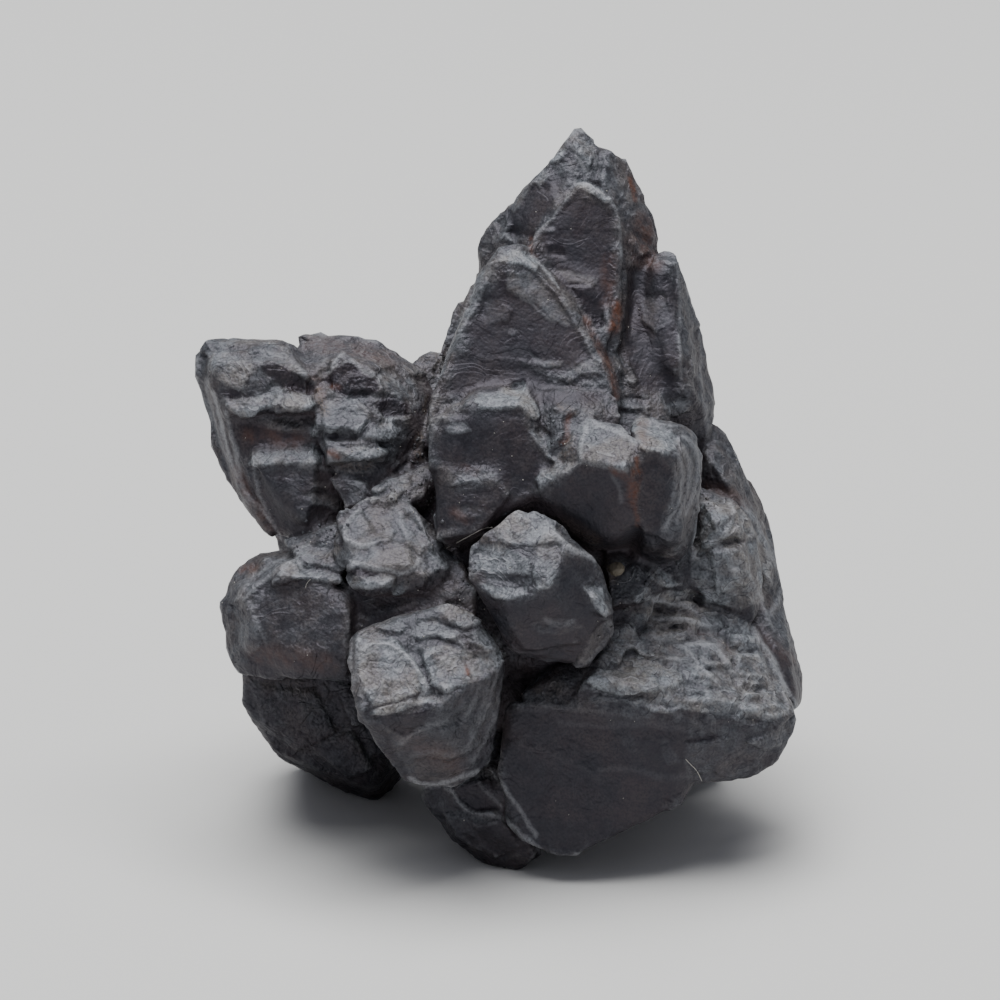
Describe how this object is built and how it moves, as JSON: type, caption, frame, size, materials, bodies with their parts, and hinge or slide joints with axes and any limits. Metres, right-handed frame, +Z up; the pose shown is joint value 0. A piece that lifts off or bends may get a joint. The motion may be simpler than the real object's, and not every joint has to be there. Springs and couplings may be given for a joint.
{
  "type": "goethite pseudomorph specimen",
  "caption": "Palm-sized black cluster of blocky, stepped mineral crystals grown together, standing on three of its own crystals.",
  "frame": {"origin": "middle of the footprint box, on the surface that the cluster stands on", "axes": "+Z up as it stands, the spire pointing up and leaning back; the side with the squared blocks faces -Y; the long arm reaches towards -X"},
  "size_m": [0.0426, 0.0374, 0.0473],
  "materials": {
    "goethite": "satin near-black iron hydroxide, paler on worn edges, rust brown in the crevices",
    "sand": "dull olive-grey grain of sand"
  },
  "bodies": {
    "root": {"goethite_cluster": "goethite", "sand_grain": "sand"}
  },
  "joints": []
}
